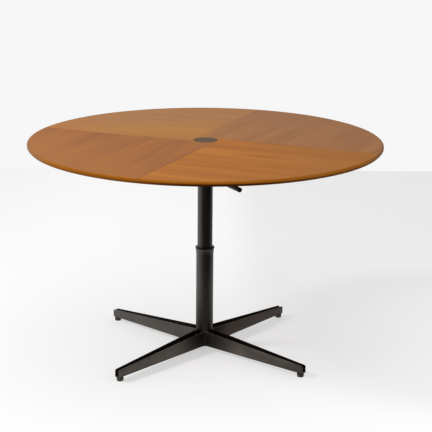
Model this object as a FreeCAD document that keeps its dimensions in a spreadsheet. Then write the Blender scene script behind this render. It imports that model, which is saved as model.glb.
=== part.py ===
# Height-adjustable round table on a telescopic column with a four-armed base.
# Millimetres and degrees. The origin is on the floor at the column's axis, +Z is up, and the
# arms of the base lie along X and Y.
import FreeCAD, Part
import math
import os

import Sketcher

# Driving dimensions: alias, value, meaning
DIMENSIONS = [
    ("table_height", 743.5, "floor to the top face"),
    ("top_angle", 22.5, "angle from the base's +X arm to an arm of the spider"),
    ("joint_angle", 17.4, "angle from the base's +X arm to a joint of the face veneer"),
    ("joint_bite", 1.0, "how far a joint's line passes inside the disc's edge"),
    ("top_diameter", 1200.0, "round top"),
    ("slab_thickness", 26.0, "whole top at its middle"),
    ("veneer_thickness", 1.0, "face and backing veneer"),
    ("rim_width", 80.0, "solid wood ring around the core"),
    ("edge_lip", 6.0, "solid wood seen around the face veneer"),
    ("edge_face", 10.5, "upright part of the edge"),
    ("edge_height", 17.0, "edge with its undercut"),
    ("edge_undercut", 6.0, "how far the undercut goes in"),
    ("edge_rounding", 4.5, "rounding of the edge"),
    ("disc_diameter", 82.0, "flush disc in the middle of the top"),
    ("disc_thickness", 5.0, "flush disc"),
    ("spigot_diameter", 30.0, "boss under the disc"),
    ("spigot_length", 16.0, "boss under the disc"),
    ("bolt_diameter", 12.0, "bolt that draws the disc down"),
    ("bolt_head_width", 19.0, "across the flats"),
    ("bolt_head_height", 8.0, "bolt head"),
    ("bolt_grip", 10.0, "bolt thread inside the boss"),
    ("hub_diameter", 74.0, "hub of the spider under the top"),
    ("hub_height", 40.0, "hub of the spider"),
    ("web_thickness", 10.0, "closed top of the hub"),
    ("spider_reach", 300.0, "axis to the end of a spider arm"),
    ("spider_root_width", 54.0, "spider arm at the hub"),
    ("spider_end_width", 32.0, "spider arm at its end"),
    ("spider_plate", 6.0, "spider arm's flat plate"),
    ("rib_thickness", 6.0, "rib under a spider arm"),
    ("rib_depth", 22.0, "rib at the hub"),
    ("screw_inner_radius", 140.0, "inner ring of wood screws"),
    ("screw_outer_radius", 272.0, "outer ring of wood screws"),
    ("screw_diameter", 5.0, "wood screw shank"),
    ("screw_head_diameter", 10.0, "wood screw head"),
    ("screw_head_height", 3.0, "wood screw head"),
    ("screw_depth", 14.0, "wood screw inside the top"),
    ("screw_offset", 11.0, "screws beside the rib"),
    ("upper_diameter", 52.0, "sliding column tube"),
    ("upper_wall", 2.5, "sliding column tube"),
    ("lower_diameter", 60.0, "fixed column tube"),
    ("lower_wall", 2.0, "fixed column tube"),
    ("mouth_height", 362.0, "floor to the mouth of the fixed tube"),
    ("mouth_diameter", 64.0, "flared mouth"),
    ("flare_length", 16.0, "flare below the mouth"),
    ("bead_diameter", 66.5, "rounded flange of the guide sleeve"),
    ("bead_height", 7.0, "flange of the guide sleeve"),
    ("sleeve_length", 45.0, "guide sleeve inside the mouth"),
    ("spare_rise", 5.0, "rise left above the pictured height"),
    ("plug_thickness", 8.0, "bottom of the fixed tube"),
    ("buffer_height", 28.0, "rubber stop on the plug"),
    ("buffer_wall", 7.5, "rubber stop"),
    ("plate_thickness", 4.0, "bent plates of the base"),
    ("arm_reach", 438.0, "axis to the end of an arm"),
    ("arm_root_width", 40.5, "over both plates at the hub"),
    ("arm_end_width", 19.0, "over both plates at the end"),
    ("hub_top", 66.0, "upper edge of the plates at the hub"),
    ("hub_bottom", 14.0, "lower edge of the plates at the hub"),
    ("end_top", 40.5, "upper edge of the plates at the arm's end"),
    ("end_bottom", 11.0, "lower edge of the plates at the arm's end"),
    ("end_rounding", 6.0, "upper corner of a plate at the arm's end"),
    ("foot_inset", 14.0, "arm's end back to the foot's axis"),
    ("foot_diameter", 23.5, "boss under the arm's end"),
    ("foot_tongue", 18.0, "length of the tongue between the plates"),
    ("tongue_drop", 4.0, "tongue below the plates' upper edge"),
    ("glide_diameter", 22.0, "glide between boss and floor"),
    ("glide_height", 5.0, "glide between boss and floor"),
    ("glide_rounding", 2.0, "lower edge of a glide"),
    ("stud_diameter", 6.0, "threaded stud of a glide"),
    ("stud_length", 12.0, "threaded stud of a glide"),
    ("lever_drop", 118.5, "top face down to the lever"),
    ("lever_reach", 252.0, "axis to the lever's end"),
    ("lever_diameter", 13.0, "lever rod"),
    ("lever_tip_diameter", 8.0, "lever rod inside its grip"),
    ("grip_diameter", 16.0, "lever grip"),
    ("grip_length", 96.0, "lever grip"),
    ("tongue_width", 12.0, "flat inner end of the lever"),
    ("tongue_height", 12.0, "flat inner end of the lever"),
    ("pivot_offset", 40.0, "axis to the lever's pivot"),
    ("pivot_diameter", 8.0, "lever's pivot pin"),
    ("bracket_diameter", 64.0, "collar that carries the lever"),
    ("bracket_height", 44.0, "collar that carries the lever"),
    ("ear_thickness", 7.0, "ears of the bracket"),
    ("ear_height", 26.0, "ears of the bracket"),
    ("clamp_screw_diameter", 6.0, "screws that hold the bracket"),
    ("clamp_screw_spread", 26.0, "between the two clamp screws"),
    ("rod_diameter", 10.0, "release rod"),
    ("rod_guide_thickness", 10.0, "guide of the release rod"),
    ("rod_guide_drop", 34.0, "lever's axis down to the rod guide"),
    ("jaw_length", 34.0, "slotted jaws of the collet"),
    ("jaw_slot", 2.0, "slots between the jaws"),
    ("ring_height", 8.0, "guide ring"),
    ("ring_depth", 3.0, "guide ring, radially"),
    ("collet_land", 2.0, "collar each side of the ring groove"),
    ("shank_length", 28.0, "collet inside the sliding tube"),
    ("cone_length", 34.0, "release cone"),
    ("cone_base", 34.0, "release cone's thick end"),
    ("cone_tip", 24.0, "release cone's thin end"),
    ("cone_drop", 5.0, "cone below the jaws"),
    ("nut_width", 17.0, "nut under the cone, across the flats"),
    ("nut_height", 8.0, "nut under the cone"),
    ("spring_length", 46.0, "return spring"),
    ("spring_diameter", 20.0, "return spring, to the wire's middle"),
    ("wire_width", 2.2, "flat wire of the return spring"),
    ("spring_turns", 7.0, "return spring"),
    ("rod_collar_diameter", 26.0, "collar above the return spring"),
    ("rod_collar_height", 7.0, "collar above the return spring"),
    ("cross_pin_diameter", 3.0, "pin through the rod's collar"),
    ("seat_gap", 0.05, "radial gap of fixed fits"),
    ("slide_gap", 0.05, "radial gap of running fits"),
    ("free_gap", 0.3, "gap between pieces that only pass each other"),
    ("tongue_play", 0.5, "lever tongue to each ear"),
]

# Levels and radii that several pieces share
UNDERSIDE = "(dims.table_height - dims.slab_thickness)"
TOP_RADIUS = "(dims.top_diameter / 2)"
CORE_RADIUS = "(dims.top_diameter / 2 - dims.rim_width)"
DISC_HOLE = "(dims.disc_diameter / 2 + dims.free_gap)"
SPIGOT_HOLE = "(dims.spigot_diameter / 2 + dims.free_gap)"
WEB_LEVEL = "(dims.table_height - dims.slab_thickness - dims.web_thickness)"
LEVER_LEVEL = "(dims.table_height - dims.lever_drop)"
LEVER_TURN = "(dims.top_angle - 45)"
UPPER_RADIUS = "(dims.upper_diameter / 2)"
UPPER_BORE = "(dims.upper_diameter / 2 - dims.upper_wall)"
LOWER_RADIUS = "(dims.lower_diameter / 2)"
LOWER_BORE = "(dims.lower_diameter / 2 - dims.lower_wall)"
PLUG_TOP = "(dims.hub_bottom + dims.plug_thickness)"
SHOULDER = "(dims.mouth_height - dims.sleeve_length - dims.spare_rise)"
COLLET_HEAD = "(dims.jaw_length + dims.ring_height + 2 * dims.collet_land)"
JAW_BOTTOM = f"({SHOULDER} - {COLLET_HEAD})"
SHANK_TOP = f"({SHOULDER} + dims.shank_length)"
CONE_BOTTOM = f"({JAW_BOTTOM} - dims.cone_drop)"
CONE_TAPER = "((dims.cone_base - dims.cone_tip) / 2 / dims.cone_length)"
COLLAR_LEVEL = f"({SHANK_TOP} + dims.spring_length)"
ROD_RADIUS = "(dims.rod_diameter / 2)"
ROD_TOP = f"({LEVER_LEVEL} - dims.tongue_height / 2 - dims.slide_gap)"
SLOT_WIDTH = "(dims.tongue_width + 2 * dims.tongue_play)"
WINDOW_HEIGHT = "(dims.ear_height + 2 * dims.free_gap)"
FOOT_RADIUS = "(dims.arm_reach - dims.foot_inset)"

doc = FreeCAD.newDocument("adjustable_table")
dims = doc.addObject("Spreadsheet::Sheet", "dims")
pieces = []


def fill_sheet():
    for row, (alias, value, meaning) in enumerate(DIMENSIONS, start=1):
        dims.set(f"A{row}", meaning)
        dims.set(f"B{row}", str(value))
        dims.setAlias(f"B{row}", alias)
    doc.recompute()


def number(expression):
    return float(dims.evalExpression(str(expression)))


# Sketches

def new_body(name):
    body = doc.addObject("PartDesign::Body", name)
    body.Label = name
    pieces.append(body)
    return body


def new_sketch(body, name, role="XZ_Plane", level=None):
    sketch = body.newObject("Sketcher::SketchObject", f"{body.Name}_{name}")
    plane = next(item for item in body.Origin.OriginFeatures if item.Role == role)
    sketch.AttachmentSupport = (plane, [""])
    sketch.MapMode = "FlatFace"
    if level is not None:
        sketch.setExpression("AttachmentOffset.Base.z", level)
    return sketch


def bind_point(sketch, geometry, point, place):
    axes = (("DistanceX", -2), ("DistanceY", -1))
    for (kind, axis), expression in zip(axes, place):
        if expression == "0":
            sketch.addConstraint(Sketcher.Constraint("PointOnObject", geometry, point, axis))
            continue
        value = number(expression)
        index = sketch.addConstraint(Sketcher.Constraint(kind, -1, 1, geometry, point, value))
        sketch.setExpression(f"Constraints[{index}]", expression)


def add_outline(sketch, corners):
    points = [FreeCAD.Vector(number(x), number(y), 0) for x, y in corners]
    first = sketch.GeometryCount
    count = len(corners)
    for i in range(count):
        sketch.addGeometry(Part.LineSegment(points[i], points[(i + 1) % count]), False)
    for i in range(count):
        following = first + (i + 1) % count
        sketch.addConstraint(Sketcher.Constraint("Coincident", first + i, 2, following, 1))
        bind_point(sketch, first + i, 1, corners[i])


def add_circle(sketch, centre, radius):
    place = FreeCAD.Vector(number(centre[0]), number(centre[1]), 0)
    circle = sketch.addGeometry(Part.Circle(place, FreeCAD.Vector(0, 0, 1), number(radius)), False)
    if centre == ("0", "0"):
        sketch.addConstraint(Sketcher.Constraint("Coincident", circle, 3, -1, 1))
    else:
        bind_point(sketch, circle, 3, centre)
    index = sketch.addConstraint(Sketcher.Constraint("Radius", circle, number(radius)))
    sketch.setExpression(f"Constraints[{index}]", radius)


def add_hexagon(sketch, width):
    half_side = f"({width} / 2 * tan(30))"
    tip = f"({width} / 2 / cos(30))"
    half = f"({width} / 2)"
    add_outline(sketch, [
        (tip, "0"), (half_side, half), (f"-{half_side}", half),
        (f"-{tip}", "0"), (f"-{half_side}", f"-{half}"), (half_side, f"-{half}"),
    ])


# Features

def add_feature(body, kind, name, sketch=None):
    feature = body.newObject(f"PartDesign::{kind}", f"{body.Name}_{name}")
    if sketch is not None:
        feature.Profile = sketch
    body.Tip = feature
    return feature


def revolve(body, sketch, name="turned", axis="V_Axis"):
    feature = add_feature(body, "Revolution", name, sketch)
    feature.ReferenceAxis = (sketch, [axis])
    feature.Angle = 360
    doc.recompute()
    return feature


def extrude(body, sketch, length, name, cut=False, symmetric=False, reverse=False):
    before = body.Shape.Volume if cut else 0
    feature = add_feature(body, "Pocket" if cut else "Pad", name, sketch)
    feature.setExpression("Length", length)
    feature.SideType = "Symmetric" if symmetric else "One side"
    feature.Reversed = reverse
    doc.recompute()
    if cut and body.Shape.Volume >= before:
        raise RuntimeError(f"{feature.Name} removes nothing")
    return feature


def repeat_around(body, features, count, name="pattern"):
    pattern = body.newObject("PartDesign::PolarPattern", f"{body.Name}_{name}")
    pattern.Originals = features
    upright = next(item for item in body.Origin.OriginFeatures if item.Role == "Z_Axis")
    pattern.Axis = (upright, [""])
    pattern.Angle = 360
    pattern.Occurrences = count
    body.Tip = pattern
    doc.recompute()
    return pattern


def round_edges(body, picks, radius, name="rounding"):
    doc.recompute()
    base = body.Tip
    edges = base.Shape.Edges
    names = [f"Edge{i}" for i, edge in enumerate(edges, start=1) if any(pick(edge) for pick in picks)]
    if len(names) < len(picks):
        raise RuntimeError(f"{body.Name}: an edge to round is missing")
    feature = add_feature(body, "Fillet", name)
    feature.Base = (base, names)
    feature.setExpression("Radius", radius)
    doc.recompute()
    return feature


def ring_edge(radius, level):
    wanted = (number(radius), number(level))

    def pick(edge):
        curve = edge.Curve
        if not isinstance(curve, Part.Circle):
            return False
        centre = curve.Center
        on_axis = math.hypot(centre.x, centre.y) < 1e-4
        return on_axis and abs(curve.Radius - wanted[0]) < 1e-4 and abs(centre.z - wanted[1]) < 1e-4
    return pick


def line_edge(**place):
    wanted = {axis: number(value) for axis, value in place.items()}

    def pick(edge):
        if not isinstance(edge.Curve, (Part.Line, Part.LineSegment)):
            return False
        ends = [vertex.Point for vertex in edge.Vertexes]
        return all(abs(getattr(end, axis) - value) < 1e-4 for end in ends for axis, value in wanted.items())
    return pick


def turn(body, angle, level="0"):
    place = f"create(<<vector>>; 0; 0; {level})"
    body.setExpression("Placement", f"create(<<placement>>; {place}; create(<<rotation>>; {angle}; 0; 0))")


def turned_piece(name, corners):
    body = new_body(name)
    sketch = new_sketch(body, "profile")
    add_outline(sketch, corners)
    revolve(body, sketch)
    return body


def ring_corners(inner, outer, low, high):
    return [(inner, low), (outer, low), (outer, high), (inner, high)]


# Top

def make_top_core():
    low = f"{UNDERSIDE} + dims.veneer_thickness"
    high = "dims.table_height - dims.veneer_thickness"
    recess = "dims.table_height - dims.disc_thickness"
    body = turned_piece("top_core", [
        (SPIGOT_HOLE, low), (CORE_RADIUS, low), (CORE_RADIUS, high),
        (DISC_HOLE, high), (DISC_HOLE, recess), (SPIGOT_HOLE, recess),
    ])
    drill_screw_holes(body, low, "dims.screw_depth - dims.veneer_thickness + dims.free_gap")
    turn(body, "dims.top_angle")


def make_backing_veneer():
    high = f"{UNDERSIDE} + dims.veneer_thickness"
    body = turned_piece("backing_veneer", ring_corners(SPIGOT_HOLE, CORE_RADIUS, UNDERSIDE, high))
    drill_screw_holes(body, UNDERSIDE, "dims.veneer_thickness")
    turn(body, "dims.top_angle")


def drill_screw_holes(body, level, depth):
    sketch = new_sketch(body, "screw_holes", "XY_Plane", level)
    for place in screw_places():
        add_circle(sketch, place, "dims.screw_diameter / 2 + dims.seat_gap")
    holes = extrude(body, sketch, depth, "holes", cut=True, reverse=True)
    repeat_around(body, [holes], 4)


def screw_places():
    radii = ("dims.screw_inner_radius", "dims.screw_outer_radius")
    return [(radius, f"{side}dims.screw_offset") for radius in radii for side in ("", "-")]


def make_top_rim():
    veneer_edge = f"{TOP_RADIUS} - dims.edge_lip"
    veneer_level = "dims.table_height - dims.veneer_thickness"
    face_low = "dims.table_height - dims.edge_face"
    edge_low = "dims.table_height - dims.edge_height"
    undercut = f"{TOP_RADIUS} - dims.edge_undercut"
    body = turned_piece("top_rim", [
        (CORE_RADIUS, UNDERSIDE), (undercut, edge_low), (TOP_RADIUS, face_low),
        (TOP_RADIUS, "dims.table_height"), (veneer_edge, "dims.table_height"),
        (veneer_edge, veneer_level), (CORE_RADIUS, veneer_level),
    ])
    nose = [ring_edge(TOP_RADIUS, "dims.table_height"), ring_edge(TOP_RADIUS, face_low)]
    round_edges(body, nose, "dims.edge_rounding", "nose")
    round_edges(body, [ring_edge(undercut, edge_low)], "dims.edge_rounding / 2", "lower_edge")
    turn(body, "dims.top_angle")


def make_veneer_quarter(index):
    # The joints pass the disc on one side, so that the four quarters stand like a pinwheel around it
    level = "dims.table_height - dims.veneer_thickness"
    beside = "(dims.disc_diameter / 2 - dims.joint_bite)"
    body = new_body(f"veneer_quarter_{index + 1}")
    sheet = new_sketch(body, "sheet", "XY_Plane")
    add_outline(sheet, [
        ("0", "0"), ("0", beside), (TOP_RADIUS, beside), (TOP_RADIUS, TOP_RADIUS),
        (f"-{beside}", TOP_RADIUS), (f"-{beside}", "0"),
    ])
    extrude(body, sheet, "dims.veneer_thickness", "leaf")
    waste = new_sketch(body, "waste", "XY_Plane")
    add_circle(waste, ("0", "0"), f"{TOP_RADIUS} - dims.edge_lip")
    add_circle(waste, ("0", "0"), f"{TOP_RADIUS} * 2")
    extrude(body, waste, "dims.veneer_thickness", "round", cut=True, reverse=True)
    hole = new_sketch(body, "hole", "XY_Plane")
    add_circle(hole, ("0", "0"), DISC_HOLE)
    extrude(body, hole, "dims.veneer_thickness", "disc_cut", cut=True, reverse=True)
    turn(body, f"dims.joint_angle + {90 * index}", level)


def make_centre_disc():
    low = "dims.table_height - dims.disc_thickness"
    boss_low = f"{low} - dims.spigot_length"
    thread = "dims.bolt_diameter / 2 + dims.seat_gap"
    body = turned_piece("centre_disc", [
        (thread, boss_low), ("dims.spigot_diameter / 2", boss_low), ("dims.spigot_diameter / 2", low),
        ("dims.disc_diameter / 2", low), ("dims.disc_diameter / 2", "dims.table_height"),
        ("0", "dims.table_height"), ("0", f"{boss_low} + dims.bolt_grip + dims.free_gap"),
        (thread, f"{boss_low} + dims.bolt_grip + dims.free_gap"),
    ])
    round_edges(body, [ring_edge("dims.disc_diameter / 2", "dims.table_height")], "dims.free_gap")


def make_centre_bolt():
    body = new_body("centre_bolt")
    head = new_sketch(body, "head", "XY_Plane", f"{WEB_LEVEL} - dims.bolt_head_height")
    add_hexagon(head, "dims.bolt_head_width")
    extrude(body, head, "dims.bolt_head_height", "hexagon")
    shank = new_sketch(body, "shank", "XY_Plane", WEB_LEVEL)
    add_circle(shank, ("0", "0"), "dims.bolt_diameter / 2")
    thread_end = "dims.table_height - dims.disc_thickness - dims.spigot_length + dims.bolt_grip"
    extrude(body, shank, f"{thread_end} - {WEB_LEVEL}", "stem")
    turn(body, "dims.top_angle")


def make_top_spider():
    hub_radius = "dims.hub_diameter / 2"
    bore = f"{UPPER_RADIUS} + dims.seat_gap"
    bolt_hole = "dims.bolt_diameter / 2 + dims.free_gap"
    hub_low = f"{UNDERSIDE} - dims.hub_height"
    plate_low = f"{UNDERSIDE} - dims.spider_plate"
    body = turned_piece("top_spider", [
        (bore, hub_low), (hub_radius, hub_low), (hub_radius, UNDERSIDE), (bolt_hole, UNDERSIDE),
        (bolt_hole, WEB_LEVEL), (bore, WEB_LEVEL),
    ])
    round_edges(body, [ring_edge(hub_radius, hub_low)], "dims.rib_thickness / 3", "hub_edge")
    inside = f"({UPPER_RADIUS} + {hub_radius}) / 2"
    root = "dims.spider_root_width / 2"
    end = "dims.spider_end_width / 2"
    plate_sketch = new_sketch(body, "arm", "XY_Plane", plate_low)
    add_outline(plate_sketch, [
        (inside, f"-{root}"), ("dims.spider_reach", f"-{end}"), ("dims.spider_reach", end), (inside, root),
    ])
    plate = extrude(body, plate_sketch, "dims.spider_plate", "arm_plate")
    rib_sketch = new_sketch(body, "rib")
    tip = "dims.spider_reach - dims.spider_end_width / 2"
    add_outline(rib_sketch, [
        (inside, f"{plate_low} - dims.rib_depth"), (hub_radius, f"{plate_low} - dims.rib_depth"),
        (tip, plate_low), (inside, plate_low),
    ])
    rib = extrude(body, rib_sketch, "dims.rib_thickness", "arm_rib", symmetric=True)
    hole_sketch = new_sketch(body, "screw_holes", "XY_Plane", plate_low)
    for place in screw_places():
        add_circle(hole_sketch, place, "dims.screw_diameter / 2 + dims.free_gap")
    holes = extrude(body, hole_sketch, "dims.spider_plate", "holes", cut=True, reverse=True)
    repeat_around(body, [plate, rib, holes], 4)
    corners = []
    for axis, across in (("x", "y"), ("y", "x")):
        for reach in ("dims.spider_reach", "-dims.spider_reach"):
            for side in (end, f"-{end}"):
                corners.append(line_edge(**{axis: reach, across: side}))
    round_edges(body, corners, "dims.spider_end_width / 3", "arm_ends")
    turn(body, "dims.top_angle")


def make_spider_screws():
    body = new_body("spider_screws")
    plate_low = f"{UNDERSIDE} - dims.spider_plate"
    head_sketch = new_sketch(body, "heads", "XY_Plane", f"{plate_low} - dims.screw_head_height")
    shank_sketch = new_sketch(body, "shanks", "XY_Plane", plate_low)
    for place in screw_places():
        add_circle(head_sketch, place, "dims.screw_head_diameter / 2")
        add_circle(shank_sketch, place, "dims.screw_diameter / 2")
    heads = extrude(body, head_sketch, "dims.screw_head_height", "head")
    shanks = extrude(body, shank_sketch, "dims.spider_plate + dims.screw_depth", "shank")
    repeat_around(body, [heads, shanks], 4)
    turn(body, "dims.top_angle")


# Column

def make_upper_tube():
    body = turned_piece("upper_tube", ring_corners(UPPER_BORE, UPPER_RADIUS, SHOULDER, WEB_LEVEL))
    window = new_sketch(body, "window")
    low = f"{LEVER_LEVEL} - {WINDOW_HEIGHT} / 2"
    high = f"{LEVER_LEVEL} + {WINDOW_HEIGHT} / 2"
    inside = f"{UPPER_BORE} / 2"
    outside = f"{UPPER_RADIUS} + dims.upper_wall"
    add_outline(window, ring_corners(inside, outside, low, high))
    extrude(body, window, SLOT_WIDTH, "lever_window", cut=True, symmetric=True)
    turn(body, LEVER_TURN)


def make_lower_tube():
    flare_low = "dims.mouth_height - dims.flare_length"
    mouth_radius = "dims.mouth_diameter / 2"
    body = turned_piece("lower_tube", [
        (LOWER_BORE, "dims.hub_bottom"), (LOWER_RADIUS, "dims.hub_bottom"), (LOWER_RADIUS, flare_low),
        (mouth_radius, "dims.mouth_height"), (LOWER_BORE, "dims.mouth_height"),
    ])
    round_edges(body, [ring_edge(LOWER_RADIUS, flare_low)], "3 * dims.flare_length", "flare")


def make_guide_sleeve():
    bore = f"{UPPER_RADIUS} + dims.slide_gap"
    outside = f"{LOWER_BORE} - dims.seat_gap"
    bead = "dims.bead_diameter / 2"
    low = "dims.mouth_height - dims.sleeve_length"
    high = "dims.mouth_height + dims.bead_height"
    body = turned_piece("guide_sleeve", [
        (bore, low), (outside, low), (outside, "dims.mouth_height"), (bead, "dims.mouth_height"),
        (bead, high), (bore, high),
    ])
    bead_edges = [ring_edge(bead, "dims.mouth_height"), ring_edge(bead, high)]
    round_edges(body, bead_edges, "dims.bead_height * 0.45", "bead")


def make_tube_plug():
    radius = f"{LOWER_BORE} - dims.seat_gap"
    turned_piece("tube_plug", ring_corners("0", radius, "dims.hub_bottom", PLUG_TOP))


def make_buffer_ring():
    outside = f"{LOWER_BORE} - dims.free_gap"
    inside = f"{outside} - dims.buffer_wall"
    high = f"{PLUG_TOP} + dims.buffer_height"
    body = turned_piece("buffer_ring", ring_corners(inside, outside, PLUG_TOP, high))
    round_edges(body, [ring_edge(inside, high), ring_edge(outside, high)], "dims.buffer_wall / 4")


# Base

def make_wing_plate(index):
    body = new_body(f"wing_plate_{index + 1}")
    outer_root = "dims.arm_root_width / 2"
    outer_end = "dims.arm_end_width / 2"
    inner_root = f"({outer_root} - dims.plate_thickness)"
    inner_end = f"({outer_end} - dims.plate_thickness)"
    strip = new_sketch(body, "strip", "XY_Plane", "dims.hub_bottom")
    add_outline(strip, [
        (inner_root, inner_root), ("dims.arm_reach", inner_end), ("dims.arm_reach", outer_end),
        (outer_root, outer_root), (outer_end, "dims.arm_reach"), (inner_end, "dims.arm_reach"),
    ])
    extrude(body, strip, "dims.hub_top - dims.hub_bottom", "bent_strip")
    slope = f"atan(({inner_root} - {inner_end}) / (dims.arm_reach - {inner_root}))"
    spare = f"({LOWER_RADIUS} + dims.free_gap / 3 - sqrt(2) * {inner_root})"
    bend = f"({spare} / (1 / sin(45 deg + {slope}) - 1))"
    inside_bend = f"{bend} - dims.plate_thickness"
    round_edges(body, [line_edge(x=outer_root, y=outer_root)], inside_bend, "bend_inside")
    round_edges(body, [line_edge(x=inner_root, y=inner_root)], bend, "bend_outside")
    for role, direction in (("XZ_Plane", "along_x"), ("YZ_Plane", "along_y")):
        taper = new_sketch(body, f"taper_{direction}", role)
        add_outline(taper, [
            (LOWER_RADIUS, "dims.hub_top"), ("dims.arm_reach", "dims.hub_top"),
            ("dims.arm_reach", "dims.end_top"),
        ])
        add_outline(taper, [
            (LOWER_RADIUS, "dims.hub_bottom"), ("dims.arm_reach", "dims.end_bottom"),
            ("dims.arm_reach", "dims.hub_bottom"),
        ])
        extrude(body, taper, "dims.arm_root_width * 6", f"taper_cut_{direction}", cut=True, symmetric=True)
    corners = [
        line_edge(x="dims.arm_reach", z="dims.end_top"), line_edge(y="dims.arm_reach", z="dims.end_top"),
    ]
    round_edges(body, corners, "dims.end_rounding", "end_corners")
    turn(body, str(90 * index))


def make_foot_post(index):
    body = new_body(f"foot_post_{index + 1}")
    arm_run = f"(dims.arm_reach - {LOWER_RADIUS})"
    behind = "(dims.foot_inset + dims.foot_diameter / 2)"
    plate_rise = f"(dims.end_bottom - dims.hub_bottom) * {behind} / {arm_run}"
    boss_top = f"(dims.end_bottom - {plate_rise} - dims.seat_gap)"
    boss = new_sketch(body, "boss", "XY_Plane", "dims.glide_height")
    add_circle(boss, (FOOT_RADIUS, "0"), "dims.foot_diameter / 2")
    extrude(body, boss, f"{boss_top} - dims.glide_height", "round_boss")
    half_gap = "(dims.arm_end_width / 2 - dims.plate_thickness - dims.seat_gap)"
    tongue = new_sketch(body, "tongue")
    start = f"({FOOT_RADIUS} - dims.foot_tongue / 2)"
    end = f"({FOOT_RADIUS} + dims.foot_tongue / 2)"
    high = "(dims.end_top - dims.tongue_drop)"
    add_outline(tongue, ring_corners(start, end, f"({boss_top} + dims.glide_height) / 2", high))
    extrude(body, tongue, f"2 * {half_gap}", "upright_tongue", symmetric=True)
    round_edges(body, [line_edge(x=start, z=high), line_edge(x=end, z=high)], "dims.tongue_drop")
    hole = new_sketch(body, "stud_hole", "XY_Plane", "dims.glide_height")
    add_circle(hole, (FOOT_RADIUS, "0"), "dims.stud_diameter / 2 + dims.slide_gap")
    extrude(body, hole, "dims.stud_length + dims.free_gap", "thread", cut=True, reverse=True)
    turn(body, str(90 * index))


def make_foot_glide(index):
    body = new_body(f"foot_glide_{index + 1}")
    pad = new_sketch(body, "pad", "XY_Plane")
    add_circle(pad, (FOOT_RADIUS, "0"), "dims.glide_diameter / 2")
    extrude(body, pad, "dims.glide_height", "round_pad")
    lower_edge = [
        f"Edge{i}" for i, edge in enumerate(body.Tip.Shape.Edges, start=1)
        if isinstance(edge.Curve, Part.Circle) and abs(edge.Curve.Center.z) < 1e-4
    ]
    rounding = add_feature(body, "Fillet", "lower_edge")
    rounding.Base = (doc.getObject(f"{body.Name}_round_pad"), lower_edge)
    rounding.setExpression("Radius", "dims.glide_rounding")
    stud = new_sketch(body, "stud", "XY_Plane", "dims.glide_height")
    add_circle(stud, (FOOT_RADIUS, "0"), "dims.stud_diameter / 2")
    extrude(body, stud, "dims.stud_length", "thread")
    turn(body, str(90 * index))


# Lever

def make_lever_bracket():
    half = "dims.bracket_height / 2"
    bore = f"{UPPER_RADIUS} + dims.seat_gap"
    outside = "dims.bracket_diameter / 2"
    body = turned_piece("lever_bracket", ring_corners(bore, outside, f"-{half}", half))
    ear = new_sketch(body, "ears")
    ear_half = "dims.ear_height / 2"
    ear_end = f"dims.pivot_offset + {ear_half}"
    root = f"({bore} + {outside}) / 2"
    add_outline(ear, ring_corners(root, ear_end, f"-{ear_half}", ear_half))
    extrude(body, ear, f"{SLOT_WIDTH} + 2 * dims.ear_thickness", "ear_block", symmetric=True)
    round_edges(body, [line_edge(x=ear_end, z=f"-{ear_half}"), line_edge(x=ear_end, z=ear_half)],
                f"{ear_half} - dims.free_gap", "ear_ends")
    slot = new_sketch(body, "slot")
    slot_half = f"{WINDOW_HEIGHT} / 2"
    add_outline(slot, ring_corners(f"{UPPER_BORE} / 2", f"{ear_end} + dims.ear_thickness",
                                   f"-{slot_half}", slot_half))
    extrude(body, slot, SLOT_WIDTH, "lever_slot", cut=True, symmetric=True)
    hole = new_sketch(body, "pivot_hole")
    add_circle(hole, ("dims.pivot_offset", "0"), "dims.pivot_diameter / 2 + dims.seat_gap")
    extrude(body, hole, "dims.bracket_diameter", "pivot", cut=True, symmetric=True)
    screw_hole = new_sketch(body, "screw_holes", "YZ_Plane")
    for side in ("", "-"):
        add_circle(screw_hole, ("0", f"{side}dims.clamp_screw_spread / 2"),
                   "dims.clamp_screw_diameter / 2 + dims.seat_gap")
    extrude(body, screw_hole, "dims.bracket_diameter", "screws", cut=True)
    turn(body, LEVER_TURN, LEVER_LEVEL)


def make_clamp_screws():
    body = new_body("clamp_screws")
    collar = "dims.bracket_diameter / 2"
    tube_face = f"{UPPER_RADIUS} + dims.seat_gap"
    parts = (
        ("shank", tube_face, f"{collar} - ({tube_face})", "dims.clamp_screw_diameter / 2"),
        ("head", collar, "dims.clamp_screw_diameter / 2", "dims.clamp_screw_diameter * 0.8"),
    )
    for name, start, length, radius in parts:
        sketch = new_sketch(body, name, "YZ_Plane", f"-({start})")
        for side in ("", "-"):
            add_circle(sketch, ("0", f"{side}dims.clamp_screw_spread / 2"), radius)
        extrude(body, sketch, length, f"{name}_run", reverse=True)
    turn(body, LEVER_TURN, LEVER_LEVEL)


def make_pivot_pin():
    width = f"({SLOT_WIDTH} / 2 + dims.ear_thickness)"
    body = new_body("pivot_pin")
    head = "dims.pivot_diameter * 0.3"
    parts = (
        ("shank", "dims.pivot_diameter / 2", f"-{width}", f"2 * {width} + dims.pivot_diameter * 0.4"),
        ("head", "dims.pivot_diameter * 0.75", f"-{width} - {head}", head),
    )
    for name, radius, start, length in parts:
        sketch = new_sketch(body, name, "XZ_Plane", start)
        add_circle(sketch, ("dims.pivot_offset", "0"), radius)
        extrude(body, sketch, length, f"{name}_run")
    turn(body, LEVER_TURN, LEVER_LEVEL)


def make_pin_clip():
    width = f"({SLOT_WIDTH} / 2 + dims.ear_thickness)"
    body = new_body("pin_clip")
    sketch = new_sketch(body, "ring", "XZ_Plane", f"{width}")
    add_circle(sketch, ("dims.pivot_offset", "0"), "dims.pivot_diameter * 0.7")
    add_circle(sketch, ("dims.pivot_offset", "0"), "dims.pivot_diameter / 2 + dims.seat_gap")
    extrude(body, sketch, "dims.pivot_diameter * 0.2", "spring_clip")
    turn(body, LEVER_TURN, LEVER_LEVEL)


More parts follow.
